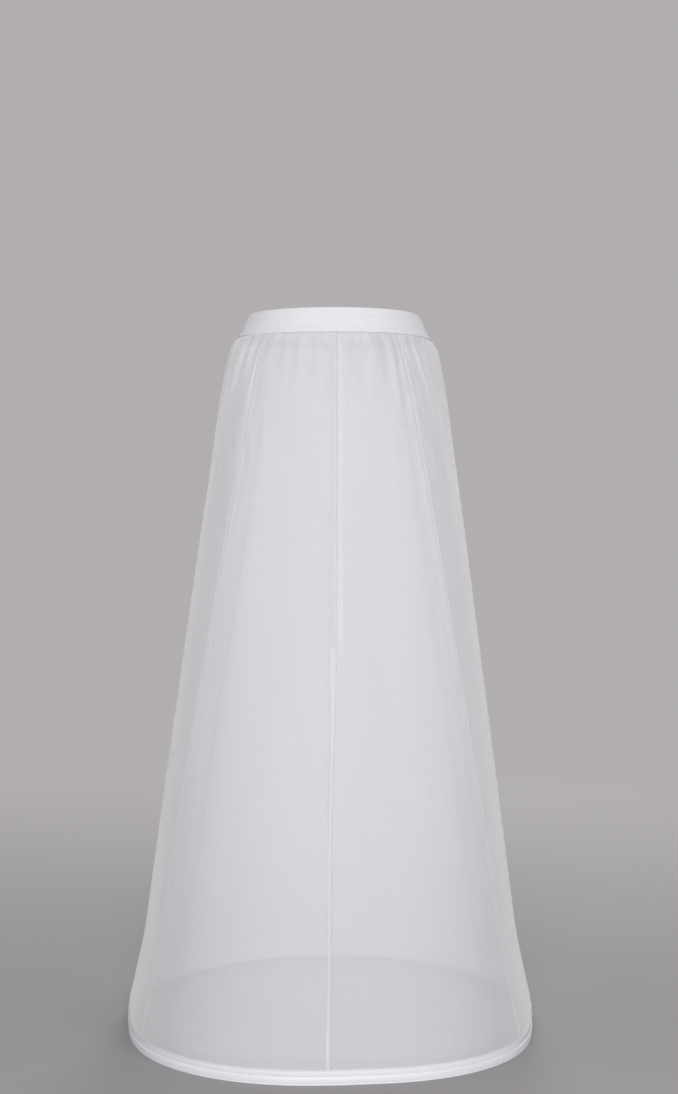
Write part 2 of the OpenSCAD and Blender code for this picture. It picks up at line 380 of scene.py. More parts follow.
# Cloth is cut wider than the elastic, so the relaxed width buckles into gathers
def relaxGathers(start, cut, frames):
    rows, cols = start.shape[:2]
    mesh = bpy.data.meshes.new("gatherRelax")
    mesh.from_pydata(start.reshape(-1, 3).tolist(), [], wrapFaces(rows, cols).tolist())
    cloth = addObject("gatherRelax", mesh)
    cloth.shape_key_add(name="sewn")
    cutKey = cloth.shape_key_add(name="cut")
    cutKey.data.foreach_set("co", cut.reshape(-1).astype(np.float32))
    held = cloth.vertex_groups.new(name="held")
    lowStart = rows - gatherSettings["heldLow"]
    pinned = [*range(gatherSettings["heldTop"] * cols), *range(lowStart * cols, rows * cols)]
    held.add(pinned, 1.0, "REPLACE")
    relax = cloth.modifiers.new("relax", "CLOTH")
    for name, value in relaxSettings.items():
        setattr(relax.settings, name, value)
    relax.settings.rest_shape_key = cutKey
    relax.settings.effector_weights.gravity = 0
    relax.collision_settings.use_collision = False
    relax.point_cache.frame_start, relax.point_cache.frame_end = 1, frames
    for f in range(1, frames + 1):
        bpy.context.scene.frame_set(f)
    shown = cloth.evaluated_get(bpy.context.evaluated_depsgraph_get())
    flat = np.zeros(rows * cols * 3, np.float32)
    shown.data.vertices.foreach_get("co", flat)
    bpy.context.scene.frame_set(1)
    bpy.data.objects.remove(cloth)
    bpy.data.meshes.remove(mesh)
    return flat.reshape(rows, cols, 3).astype(float)


def makeSkirt():
    points = skirtGrid(gathers=True)
    z = skirtRows()
    plain = ringLengths(skirtGrid(gathers=False))
    straight = (z < gatherSettings["fitRange"][1]) & (z > gatherSettings["fitRange"][0])
    slant = np.polyfit(z[straight], plain[straight], 1)
    cutLength = np.maximum(np.polyval(slant, z), plain)
    lengths = (cutLength[topRow], plain[topRow], plain[-1])
    print("cut width at the waist %.3f m, elastic %.3f m, hem %.3f m" % lengths)
    last = int(np.searchsorted(-z, -gatherSettings["relaxLow"]))
    atWaist = plain[topRow] * gatherSettings["fullness"]
    cutLength = np.maximum(cutLength, atWaist * (z > skirt["topZ"] - gatherSettings["fullDrop"]))
    cut = skirtGrid(gathers=False, scale=cutLength / plain)
    relaxed = relaxGathers(points[:last], cut[:last], gatherSettings["frames"])
    top, low = gatherSettings["heldTop"], last - gatherSettings["heldLow"]
    for _ in range(gatherSettings["smooth"]):  # takes out ripples narrower than a fold
        relaxed = (np.roll(relaxed, 1, 1) + 2 * relaxed + np.roll(relaxed, -1, 1)) / 4
        relaxed[top:low] = (relaxed[top - 1:low - 1] + 2 * relaxed[top:low] + relaxed[top + 1:low + 1]) / 4
    points[:last] = relaxed
    print("gathers relaxed:", last, "rows of", points.shape[1], "columns")
    return points


skirtPoints = addCreases(makeSkirt())


# Catmull-Rom sampling of the skirt, open down the rows and closed round the columns
def cubic(a, b, c, d, t):
    square, cube = 2 * a - 5 * b + 4 * c - d, 3 * b - a - 3 * c + d
    return 0.5 * (2 * b + (c - a) * t + square * t ** 2 + cube * t ** 3)


def sampleDown(points, rowAt):
    last = len(points) - 1
    i = np.clip(np.floor(rowAt).astype(int), 0, last - 1)
    t = (rowAt - i)[:, None, None]
    pick = [points[np.clip(i + k, 0, last)] for k in (-1, 0, 1, 2)]
    return cubic(*pick, t)


def sampleRound(points, colAt):
    count = points.shape[1]
    j = np.floor(colAt).astype(int)
    t = (colAt - j)[..., None]
    rows = np.arange(len(points))[:, None]
    pick = [points[rows, (j + k) % count] for k in (-1, 0, 1, 2)]
    return cubic(*pick, t)


# Finer rows for the finished cloth
fineRowAt = np.linspace(0, len(skirtPoints) - 1, 2 * len(skirtPoints) - 1)
fineSkirt = sampleDown(skirtPoints, fineRowAt)
fineZ = fineSkirt[:, :, 2].mean(1)

seamSettings = {
    "allowance": 9 * mm,
    "narrow": 6 * mm,  # width of the centre-front allowance at the elastic
    "narrowRun": 0.10,
    "rolled": 3.2 * mm,  # and where it rolls up below the flip
    "rollRun": 0.14,
    "hemSpread": 2.8 * mm,
    "hemSpreadRun": (-0.12, -0.02),
    "grooveDeep": 1.0 * mm,
    "grooveWide": 0.8 * mm,
    "proud": 0.25 * mm,  # plies under the cloth lift it a little
    "soft": 1.2 * mm,
    "plies": 0.5 * mm,
    "plyGap": 0.12 * mm,
    "plyCols": 8,
    "flipZ": 0.556,  # the centre-front allowance turns to the other side here
    "flipRun": 0.02,
    "clear": 0.6,  # how plainly the other bands show, at the waist and at the hem
    "faint": 0.25,
    "clearRun": (0.45, 0.9),
    "topClear": 1 * mm,  # bands stop short of the elastic and the casing
    "hemClear": 0.5 * mm,
    "spareCols": 10,
}
# Columns close together at a seam
edgeSteps = np.array([0.0, 0.5, 1.1, 2.0, 3.2, 4.8, 6.4, 7.8, 8.6, 9.4, 10.4]) * mm


def goreStart(k):
    return sum(g["cols"] for g in gores[:k])


def goreColumns(k, rowWidth):
    cols = gores[k]["cols"]
    inner = cols + seamSettings["spareCols"]
    edge = edgeSteps[None, :] / rowWidth[:, None]
    first = edge[:, -1:]
    middle = first + (1 - 2 * first) * (np.arange(1, inner) / inner)[None, :]
    share = np.concatenate([edge, middle, 1 - edge[:, ::-1]], 1)
    return goreStart(k) + share * cols, share


def goreWidths(k):
    first, cols = goreStart(k), gores[k]["cols"]
    ring = fineSkirt[:, np.arange(first, first + cols + 1) % fineSkirt.shape[1]]
    return np.linalg.norm(np.diff(ring, axis=1), axis=-1).sum(1)


def shellMesh(outer, inner, uv):
    rows, cols = outer.shape[:2]
    i, j = np.meshgrid(np.arange(rows - 1), np.arange(cols - 1), indexing="ij")
    a = (i * cols + j).reshape(-1)
    out = np.stack([a, a + cols, a + cols + 1, a + 1], -1)
    back = rows * cols
    inn = back + out[:, ::-1]
    top = np.arange(cols - 1)
    low = (rows - 1) * cols + top
    left = np.arange(rows - 1) * cols
    right = left + cols - 1
    rims = [
        np.stack([top, top + 1, back + top + 1, back + top], -1),
        np.stack([low + 1, low, back + low, back + low + 1], -1),
        np.stack([left + cols, left, back + left, back + left + cols], -1),
        np.stack([right, right + cols, back + right + cols, back + right], -1),
    ]
    faces = np.concatenate([out, inn, *rims])
    verts = np.concatenate([outer.reshape(-1, 3), inner.reshape(-1, 3)])
    return verts, faces, np.concatenate([uv.reshape(-1, 2)] * 2)


def showMesh(name, mesh, smoothAngle):
    mesh.polygons.foreach_set("use_smooth", [True] * len(mesh.polygons))
    mesh.set_sharp_from_angle(angle=math.radians(smoothAngle))
    mesh.update()
    return addObject(name, mesh)


def meshObject(name, parts, smoothAngle=40, plies=None):
    verts, faces, uvs, base = [], [], [], 0
    for v, f, uv in parts:
        verts.append(v)
        faces.append(f + base)
        uvs.append(uv)
        base += len(v)
    mesh = bpy.data.meshes.new(name)
    mesh.from_pydata(np.concatenate(verts).tolist(), [], np.concatenate(faces).tolist())
    layer = mesh.uv_layers.new(name="UVMap")
    loops = np.zeros(len(mesh.loops), np.int32)
    mesh.loops.foreach_get("vertex_index", loops)
    layer.data.foreach_set("uv", np.concatenate(uvs)[loops].astype(np.float32).reshape(-1))
    if plies is not None:
        mesh.attributes.new("plies", "FLOAT", "POINT").data.foreach_set("value", plies.astype(np.float32))
    return showMesh(name, mesh, smoothAngle)


def titleName(node):
    words = node.split("_")
    return words[0] + "".join(w.capitalize() for w in words[1:])


# Front and back gores carry the pressed allowances, and the centre-front one changes sides
def hasAllowance(k, atFirst):
    flip = np.clip((fineZ - seamSettings["flipZ"]) / seamSettings["flipRun"] + 0.5, 0, 1)
    none, whole = 0 * flip, 1 + 0 * flip
    first = [flip, none, whole, whole, none, whole]
    last = [whole, none, none, whole, none, 1 - flip]
    return first[k] if atFirst else last[k]


def atCentreFront(k, atFirst):
    return (k == 0 and atFirst) or (k == len(gores) - 1 and not atFirst)


def allowanceWide(k, atFirst):
    wide = np.full_like(fineZ, seamSettings["allowance"])
    if not atCentreFront(k, atFirst):
        return wide
    if atFirst:
        near = 1 - np.clip((skirt["topZ"] - fineZ) / seamSettings["narrowRun"], 0, 1)
        return wide + (seamSettings["narrow"] - wide) * near
    rolled = np.clip((seamSettings["flipZ"] - fineZ) / seamSettings["rollRun"], 0, 1)
    spread = seamSettings["hemSpread"] * smoothStep(-fineZ, *seamSettings["hemSpreadRun"])
    return wide + (seamSettings["rolled"] - wide) * rolled + spread


# How plainly a band of plies shows
def plyShow(k, atFirst):
    if atCentreFront(k, atFirst):
        return np.ones_like(fineZ)
    rise = smoothStep(fineZ, *seamSettings["clearRun"])
    return seamSettings["faint"] + (seamSettings["clear"] - seamSettings["faint"]) * rise


def seamLift(distance):
    return -seamSettings["grooveDeep"] * np.exp(-(distance / seamSettings["grooveWide"]) ** 2)


def goreUv(share, width, drop):
    return np.stack([(share - 0.5) * width[:, None], np.broadcast_to(-drop[:, None], share.shape)], -1)


# Plies of a pressed allowance, under the edge of the cloth
def plyBand(k, atFirst, width, drop):
    low, high = skirt["hemZ"] + seamSettings["hemClear"], skirt["topZ"] - seamSettings["topClear"]
    shown = (fineZ < high) & (fineZ > low)
    rows = np.where(shown & (hasAllowance(k, atFirst) > 0.5))[0]
    if len(rows) < 2:
        return None
    distance = allowanceWide(k, atFirst)[rows, None] * np.linspace(0, 1, seamSettings["plyCols"])[None, :]
    share = distance / width[rows, None]
    if not atFirst:
        distance, share = distance[:, ::-1], 1 - share[:, ::-1]
    points = sampleRound(fineSkirt[rows], goreStart(k) + share * gores[k]["cols"])
    normals = outwardNormals(points)
    under = seamLift(distance) + seamSettings["proud"] - skirt["clothThick"] - seamSettings["plyGap"]
    top = points + normals * under[..., None]
    shell = shellMesh(top, top - normals * seamSettings["plies"], goreUv(share, width[rows], drop[rows]))
    return shell, np.repeat(plyShow(k, atFirst)[rows], seamSettings["plyCols"])


def buildGore(k):
    width = goreWidths(k)
    colAt, share = goreColumns(k, width)
    points = sampleRound(fineSkirt, colAt)
    normals = outwardNormals(points)
    drop = np.concatenate([[0], np.cumsum(np.linalg.norm(np.diff(points.mean(1), axis=0), axis=-1))])
    plies, bands = 0 * share, []
    for atFirst in (True, False):
        distance = (share if atFirst else 1 - share) * width[:, None]
        inside = (allowanceWide(k, atFirst)[:, None] - distance) / seamSettings["soft"] + 0.5
        band = hasAllowance(k, atFirst)[:, None] * plyShow(k, atFirst)[:, None] * np.clip(inside, 0, 1)
        plies = np.maximum(plies, band)
        bands.append(plyBand(k, atFirst, width, drop))
    lift = seamLift(np.minimum(share, 1 - share) * width[:, None]) + seamSettings["proud"] * plies
    outer = points + normals * lift[..., None]
    shells = [shellMesh(outer, outer - normals * skirt["clothThick"], goreUv(share, width, drop))]
    shows = [plies.reshape(-1)] * 2
    for shell, show in filter(None, bands):
        shells.append(shell)
        shows += [show] * 2
    return meshObject(titleName(gores[k]["node"]), shells, plies=np.concatenate(shows)), width, drop[-1]


gorePieces = []
for k, gore in enumerate(gores):
    piece, width, length = buildGore(k)
    gore.update(piece=piece, hemWidth=width[-1], topWidth=width[0], length=length)
    gorePieces.append(piece)
print("gores made:", [len(p.data.polygons) for p in gorePieces])

# Woven elastic, a leaning oval band whose ends lap at the centre back
elastic = {
    "height": bandHigh.z - bandLow.z,
    "topX": 128 * mm,
    "topY": 97 * mm,
    "lowX": bandHigh.x - 0.5 * mm,
    "lowY": -bandLow.y - 0.5 * mm,
    "thick": 1.1 * mm,
    "rimHigh": 5.5 * mm,
    "rimOut": 0.5 * mm,
    "rimSoft": 0.7 * mm,
    "stitchDip": (0.22 * mm, 0.45 * mm),  # depth and half width
    "ribPitch": 1.9 * mm,
    "ribOut": 0.3 * mm,
    "ribStart": 0.3 * mm,
    "beadHigh": 1.6 * mm,
    "bead": (0.16 * mm, 0.9 * mm, 0.6 * mm),  # reach, place below the top edge and half width
    "edgeRound": (0.45 * mm, 0.5 * mm),  # depth and height
    "dipLoss": 0.6,  # the top edge dips less than the lower one
    "lap": 24 * mm,
    "lapOut": 0.9,  # share of the thickness
    "lapSpare": 0.5 * mm,
    "lapSoft": 0.6 * mm,
    "lapSteps": (-0.3, 0.0, 0.3, 0.6, 0.9),  # columns at each edge of the lap, in mm
    "rows": 150,
    "insideRows": 14,
    "cols": 300,
    "smoothAngle": 55,
}
bandStitches = {
    "heights": (1.3 * mm, 3.7 * mm),
    "spacing": 2.8 * mm,
    "length": 2.1 * mm,
    "thread": 0.2 * mm,
    "sink": 0.15 * mm,
    "steps": 400,
    "boxInset": 3 * mm,  # box of stitches on the lap
    "boxLow": 7 * mm,
    "boxDrop": 4 * mm,
    "boxSteps": 20,
}


def elasticProfile():
    high, rimHigh, soft = elastic["height"], elastic["rimHigh"], elastic["rimSoft"]
    h = np.linspace(0, high, elastic["rows"])
    rim = np.clip((rimHigh + soft / 2 - h) / soft, 0, 1)
    dipDeep, dipHalf = elastic["stitchDip"]
    dips = sum(np.exp(-((h - at) / dipHalf) ** 2) for at in bandStitches["heights"])
    ribs = (1 - np.cos(2 * np.pi * (h - rimHigh) / elastic["ribPitch"])) / 2
    inField = (h > rimHigh + elastic["ribStart"]) & (h < high - elastic["beadHigh"])
    beadOut, beadDown, beadHalf = elastic["bead"]
    bead = np.exp(-((h - high + beadDown) / beadHalf) ** 2)
    out = elastic["thick"] + elastic["rimOut"] * rim - dipDeep * dips * rim
    out = out + np.where(inField, elastic["ribOut"] * (ribs - 1), 0) + beadOut * bead
    roundIn, roundHigh = elastic["edgeRound"]
    for up in (high - h, h):
        out = out - roundIn * (1 - np.sqrt(np.clip(up / roundHigh, 0, 1)))
    inside = np.linspace(high, 0, elastic["insideRows"])
    return np.concatenate([h, inside]), np.concatenate([out, np.zeros_like(inside)])


def elasticPoint(turn, h, out):
    up = h / elastic["height"]
    halfX = elastic["lowX"] + (elastic["topX"] - elastic["lowX"]) * up - elastic["thick"]
    halfY = elastic["lowY"] + (elastic["topY"] - elastic["lowY"]) * up - elastic["thick"]
    x, y = ovalPoint(halfX, halfY, turn, out)
    dip = frontDip(turn) * (1 - elastic["dipLoss"] * up)
    return np.stack([x + skirt["lean"], y, skirt["topZ"] + h - dip], -1)


def lapShare(turn):
    away = np.abs((turn % (2 * np.pi)) - np.pi) * elastic["lowX"]
    return np.clip((elastic["lap"] / 2 + elastic["lapSpare"] - away) / elastic["lapSoft"], 0, 1)


def buildElastic():
    h, out = elasticProfile()
    turn = np.linspace(0, 2 * np.pi, elastic["cols"], endpoint=False)
    lapEdges = (elastic["lap"] / 2 + np.array(elastic["lapSteps"]) * mm) / elastic["lowX"]
    turn = np.sort(np.concatenate([turn, np.pi - lapEdges, np.pi + lapEdges]))
    lap = np.where(out > 0, 1, 0)[:, None] * lapShare(turn)[None, :] * elastic["thick"] * elastic["lapOut"]
    points = elasticPoint(turn[None, :], h[:, None], out[:, None] + lap)
    rows, cols = points.shape[:2]
    i, j = np.meshgrid(np.arange(rows), np.arange(cols), indexing="ij")
    a, b = i * cols + j, i * cols + (j + 1) % cols
    up, right = (i + 1) % rows * cols + j, (i + 1) % rows * cols + (j + 1) % cols
    faces = np.stack([a, b, right, up], -1).reshape(-1, 4)
    along = np.broadcast_to((turn * (elastic["lowX"] + elastic["lowY"]) / 2)[None, :], points.shape[:2])
    uv = np.stack([along, np.broadcast_to(h[:, None], along.shape)], -1)
    part = (points.reshape(-1, 3), faces, uv.reshape(-1, 2))
    return meshObject("elasticWaistband", [part], elastic["smoothAngle"])


elasticPiece = buildElastic()
print("elastic made:", len(elasticPiece.data.polygons), "faces")


# Hem path: the hoop's line, a little square in front and kinked where its ends join
def hemPoint(turn):
    reach = skirt["hemRadius"] + squareOut(turn) + kinkOut(turn)
    return np.stack([reach * np.sin(turn), -reach * np.cos(turn), 0 * turn], -1)


def curveObject(name, runs, closed):
    data = bpy.data.curves.new(name, "CURVE")
    data.dimensions = "3D"
    data.twist_mode = "Z_UP"
    for points in runs:
        spline = data.splines.new("POLY")
        spline.points.add(len(points) - 1)
        spline.points.foreach_set("co", np.c_[points, np.ones(len(points))].reshape(-1))
        spline.use_cyclic_u = closed
    return addObject(name, data)


def newTree(name, kind, inputs, outputs):
    tree = bpy.data.node_groups.new(name, kind)
    for way, sockets in (("INPUT", inputs), ("OUTPUT", outputs)):
        for label, sort in sockets.items():
            tree.interface.new_socket(label, in_out=way, socket_type="NodeSocket" + sort)
    return tree, tree.nodes.new("NodeGroupInput").outputs, tree.nodes.new("NodeGroupOutput").inputs


# Adds a node, and links or sets the inputs that are given
def addNode(tree, kind, inputs=None, **settings):
    node = tree.nodes.new(kind)
    for key, value in settings.items():
        setattr(node, key, value)
    for key, value in (inputs or {}).items():
        if isinstance(value, bpy.types.NodeSocket):
            tree.links.new(value, node.inputs[key])
        else:
            node.inputs[key].default_value = value
    return node


def calc(tree, operation, *values):
    return addNode(tree, "ShaderNodeMath", dict(enumerate(values)), operation=operation).outputs[0]


def firstSocket(sockets, kind, names=None):
    return next(s for s in sockets if s.type == kind and (names is None or s.name in names))


def finishTree(tree, geometry, material, done):
    whole = addNode(tree, "GeometryNodeRealizeInstances", {0: geometry})
    finish = addNode(tree, "GeometryNodeSetMaterial", {"Geometry": whole.outputs[0], "Material": material})
    tree.links.new(finish.outputs[0], done[0])
    return tree


# Sweeps a section along a path, then puckers its skin
def makeSweepTree():
    inputs = {"Path": "Geometry", "Section": "Object", "Caps": "Bool", "Pucker": "Float",
              "Pucker Scale": "Float", "Finish": "Material"}
    tree, given, done = newTree("sweepAlongHem", "GeometryNodeTree", inputs, {"Swept": "Geometry"})
    section = addNode(tree, "GeometryNodeObjectInfo", {"Object": given["Section"]}).outputs["Geometry"]
    sweep = addNode(tree, "GeometryNodeCurveToMesh", {
        "Curve": given["Path"], "Profile Curve": section, "Fill Caps": given["Caps"]})
    noise = addNode(tree, "ShaderNodeTexNoise", {"Scale": given["Pucker Scale"]})
    depth = calc(tree, "MULTIPLY", calc(tree, "SUBTRACT", noise.outputs[0], 0.5), given["Pucker"])
    normal = addNode(tree, "GeometryNodeInputNormal").outputs[0]
    offset = addNode(tree, "ShaderNodeVectorMath", {0: normal, "Scale": depth}, operation="SCALE")
    moved = {"Geometry": sweep.outputs[0], "Offset": offset.outputs[0]}
    place = addNode(tree, "GeometryNodeSetPosition", moved)
    return finishTree(tree, place.outputs[0], given["Finish"], done)


# Lays thread stitches end to end along every run of a path
def makeStitchTree():
    inputs = {"Path": "Geometry", "Spacing": "Float", "Length": "Float", "Thread": "Float",
              "Uneven": "Float", "Seed": "Int", "Finish": "Material"}
    tree, given, done = newTree("stitchRun", "GeometryNodeTree", inputs, {"Stitches": "Geometry"})
    run = {"Curve": given["Path"], "Length": given["Spacing"]}
    points = addNode(tree, "GeometryNodeCurveToPoints", run, mode="LENGTH").outputs
    bead = addNode(tree, "GeometryNodeMeshUVSphere", {"Segments": 6, "Rings": 5, "Radius": 1.0})
    half = calc(tree, "MULTIPLY", given["Length"], 0.5)
    size = addNode(tree, "ShaderNodeCombineXYZ", {0: half, 1: given["Thread"], 2: given["Thread"]})
    drawn = {"Geometry": bead.outputs["Mesh"], "Scale": size.outputs[0]}
    shape = addNode(tree, "GeometryNodeTransform", drawn)
    aim = addNode(tree, "FunctionNodeAlignRotationToVector", {"Vector": points["Tangent"]}, axis="X")
    vary = addNode(tree, "FunctionNodeRandomValue", {"Seed": given["Seed"]}, data_type="FLOAT")
    tree.links.new(calc(tree, "SUBTRACT", 1.0, given["Uneven"]), firstSocket(vary.inputs, "VALUE", ["Min"]))
    firstSocket(vary.inputs, "VALUE", ["Max"]).default_value = 1.0
    lay = addNode(tree, "GeometryNodeInstanceOnPoints", {
        "Points": points["Points"], "Instance": shape.outputs["Geometry"],
        "Rotation": aim.outputs[0], "Scale": firstSocket(vary.outputs, "VALUE")})
    return finishTree(tree, lay.outputs[0], given["Finish"], done)


swept = {"mergeWithin": 1e-6, "smoothAngle": 50, "uvReach": 0.4}  # uvReach keeps level faces open in the map


def treeToMesh(path, tree, values, name):
    modifier = path.modifiers.new(tree.name, "NODES")
    modifier.node_group = tree
    for item in tree.interface.items_tree:
        if item.in_out == "INPUT" and item.name in values:
            modifier[item.identifier] = values[item.name]
    bpy.context.view_layer.update()
    graph = bpy.context.evaluated_depsgraph_get()
    mesh = bpy.data.meshes.new_from_object(path.evaluated_get(graph), depsgraph=graph)
    mesh.name = name
    path.modifiers.clear()
    bpy.data.objects.remove(path)
    shape = bmesh.new()
    shape.from_mesh(mesh)
    bmesh.ops.remove_doubles(shape, verts=shape.verts, dist=swept["mergeWithin"])
    bmesh.ops.recalc_face_normals(shape, faces=shape.faces)
    shape.to_mesh(mesh)
    shape.free()
    return showMesh(name, mesh, swept["smoothAngle"])


# Length round the hem and height, so that a weave follows the tape
def ringUv(obj):
    mesh = obj.data
    layer = mesh.uv_layers.get("UVMap") or mesh.uv_layers.new(name="UVMap")
    around = 2 * math.pi
    for face in mesh.polygons:
        corners = [mesh.vertices[v].co for v in face.vertices]
        turns = [math.atan2(c.x, -c.y) % around for c in corners]
        if max(turns) - min(turns) > math.pi:
            turns = [t + around if t < math.pi else t for t in turns]
        for loop, turn, c in zip(face.loop_indices, turns, corners):
            layer.data[loop].uv = (turn * skirt["hemRadius"], c.z + swept["uvReach"] * math.hypot(c.x, c.y))


# Materials
def newMaterial(name):
    material = bpy.data.materials.new(name)
    material.use_nodes = True
    return material, material.node_tree, material.node_tree.nodes["Principled BSDF"]


yarn = {"warpShow": 0.75, "streakDraw": 0.02, "streakDetail": 3.0, "cloudScale": 9.0, "cloudDetail": 2.0}


# Plain weave: over-and-under threads, and the streaks of uneven yarn
def makeWeaveGroup():
    inputs = {"Place": "Vector", "Pitch": "Float", "Streak Width": "Float"}
    outputs = {"Thread": "Float", "Streak": "Float", "Cloud": "Float"}
    tree, given, done = newTree("plainWeave", "ShaderNodeTree", inputs, outputs)
    split = addNode(tree, "ShaderNodeSeparateXYZ", {0: given["Place"]})
    waves = []
    for axis in (0, 1):
        count = calc(tree, "DIVIDE", split.outputs[axis], given["Pitch"])
        waves.append(calc(tree, "SINE", calc(tree, "MULTIPLY", count, math.pi)))
    warp, weft = [calc(tree, "ABSOLUTE", wave) for wave in waves]
    over = calc(tree, "GREATER_THAN", calc(tree, "MULTIPLY", *waves), 0.0)
    threads = {"Factor": over, "A": calc(tree, "MULTIPLY", warp, yarn["warpShow"]), "B": weft}
    thread = addNode(tree, "ShaderNodeMix", threads, data_type="FLOAT").outputs["Result"]
    finer = calc(tree, "DIVIDE", 1.0, given["Streak Width"])
    streaks = []
    for scale in ((1.0, yarn["streakDraw"], 1.0), (yarn["streakDraw"], 1.0, 1.0)):
        drawn = addNode(tree, "ShaderNodeVectorMath", {0: given["Place"], 1: scale}, operation="MULTIPLY")
        grow = {0: drawn.outputs[0], "Scale": finer}
        grown = addNode(tree, "ShaderNodeVectorMath", grow, operation="SCALE")
        uneven = {"Vector": grown.outputs[0], "Scale": 1.0, "Detail": yarn["streakDetail"]}
        streaks.append(addNode(tree, "ShaderNodeTexNoise", uneven).outputs[0])
    both = calc(tree, "MULTIPLY", calc(tree, "ADD", *streaks), 0.5)
    patches = {"Vector": given["Place"], "Scale": yarn["cloudScale"], "Detail": yarn["cloudDetail"]}
    cloud = addNode(tree, "ShaderNodeTexNoise", patches).outputs[0]
    for label, socket in (("Thread", thread), ("Streak", both), ("Cloud", cloud)):
        tree.links.new(socket, done[label])
    return tree


weaveGroup = makeWeaveGroup()


def ranged(tree, source, low, high, fromLow=0.3, fromHigh=0.7):
    limits = {"From Min": fromLow, "From Max": fromHigh, "To Min": low, "To Max": high}
    return addNode(tree, "ShaderNodeMapRange", {"Value": source, **limits}).outputs["Result"]


def colourBetween(tree, source, dark, light):
    node = addNode(tree, "ShaderNodeMix", {"Factor": source}, data_type="RGBA")
    colours = [s for s in node.inputs if s.type == "RGBA"]
    colours[0].default_value, colours[1].default_value = (*dark, 1), (*light, 1)
    return firstSocket(node.outputs, "RGBA")


def addBump(tree, shader, height, strength, distance):
    bump = addNode(tree, "ShaderNodeBump", {"Strength": strength, "Distance": distance, "Height": height})
    tree.links.new(bump.outputs[0], shader.inputs["Normal"])


# Colour and roughness that vary with the yarn
def yarnFinish(name, settings):
    material, tree, shader = newMaterial(name)
    place = addNode(tree, "ShaderNodeTexCoord").outputs["UV"]
    values = {"Place": place, "Pitch": settings["pitch"], "Streak Width": settings["streak"]}
    weave = addNode(tree, "ShaderNodeGroup", values, node_tree=weaveGroup).outputs
    shade = ranged(tree, weave["Streak"], 0, 1)
    colour = colourBetween(tree, shade, settings["dark"], settings["light"])
    tree.links.new(colour, shader.inputs["Base Color"])
    tree.links.new(ranged(tree, weave["Cloud"], *settings["rough"]), shader.inputs["Roughness"])
    return material, tree, shader, weave


threadHeight = 0.3  # bump of a thread for its pitch


def clothMaterial(name, settings):
    material, tree, shader, weave = yarnFinish(name, settings)
    shader.inputs["Sheen Weight"].default_value = settings["sheen"]
    shader.inputs["Sheen Roughness"].default_value = settings["sheenRough"]
    shader.inputs["Specular IOR Level"].default_value = settings["specular"]
    if "alpha" in settings:
        aslant = addNode(tree, "ShaderNodeLayerWeight", {"Blend": 0.5})  # threads close up at a slant
        stack = addNode(tree, "ShaderNodeAttribute", attribute_name="plies")
        plain = ranged(tree, weave["Streak"], *settings["alpha"])
        edge = ranged(tree, aslant.outputs["Facing"], 0, settings["edgeAlpha"], settings["edgeFrom"], 1)
        plies = ranged(tree, stack.outputs["Fac"], 0, settings["plyAlpha"], 0, 1)
        cover = calc(tree, "ADD", calc(tree, "ADD", plain, edge), plies)
        tree.links.new(cover, shader.inputs["Alpha"])
    addBump(tree, shader, weave["Thread"], settings["bump"], settings["pitch"] * threadHeight)
    return material


sheerCloth = clothMaterial("sheerVoile", {
    "pitch": 0.7 * mm, "streak": 1.6 * mm, "dark": (0.865, 0.855, 0.885), "light": (0.89, 0.88, 0.905),
    "rough": (0.55, 0.7), "sheen": 0.8, "sheenRough": 0.45, "specular": 0.3, "bump": 0.4,
    "alpha": (0.44, 0.465), "edgeAlpha": 0.35, "edgeFrom": 0.35, "plyAlpha": 0.2,
})
elasticCloth = clothMaterial("wovenElastic", {
    "pitch": 0.55 * mm, "streak": 2 * mm, "dark": (0.75, 0.74, 0.775), "light": (0.81, 0.80, 0.835),
    "rough": (0.7, 0.85), "sheen": 0.2, "sheenRough": 0.5, "specular": 0.25, "bump": 0.35,
})
tapeCloth = clothMaterial("casingTape", {
    "pitch": 0.5 * mm, "streak": 3 * mm, "dark": (0.77, 0.765, 0.80), "light": (0.84, 0.835, 0.87),
    "rough": (0.32, 0.45), "sheen": 0.1, "sheenRough": 0.4, "specular": 0.5, "bump": 0.15,
})
threadCloth = clothMaterial("sewingThread", {
    "pitch": 0.25 * mm, "streak": 6 * mm, "dark": (0.70, 0.69, 0.73), "light": (0.80, 0.79, 0.83),
    "rough": (0.5, 0.65), "sheen": 0.1, "sheenRough": 0.5, "specular": 0.4, "bump": 0.3,
})
stripCoat = clothMaterial("coatedStrip", {
    "pitch": 1.2 * mm, "streak": 4 * mm, "dark": (0.78, 0.78, 0.80), "light": (0.84, 0.84, 0.86),
    "rough": (0.3, 0.42), "sheen": 0.0, "sheenRough": 0.5, "specular": 0.5, "bump": 0.05,
})


def steelMaterial(name, settings):
    material, tree, shader, weave = yarnFinish(name, settings)
    shader.inputs["Metallic"].default_value = 1.0
    addBump(tree, shader, weave["Streak"], settings["bump"], settings["bumpDepth"])
    return material


sleeveSteel = steelMaterial("crimpedSteel", {
    "pitch": 0.4 * mm, "streak": 1.5 * mm, "dark": (0.50, 0.51, 0.53), "light": (0.66, 0.67, 0.69),
    "rough": (0.28, 0.45), "bump": 0.2, "bumpDepth": 0.1 * mm,
})
for piece in gorePieces:
    piece.data.materials.append(sheerCloth)
elasticPiece.data.materials.append(elasticCloth)
print("materials made:", len(bpy.data.materials))

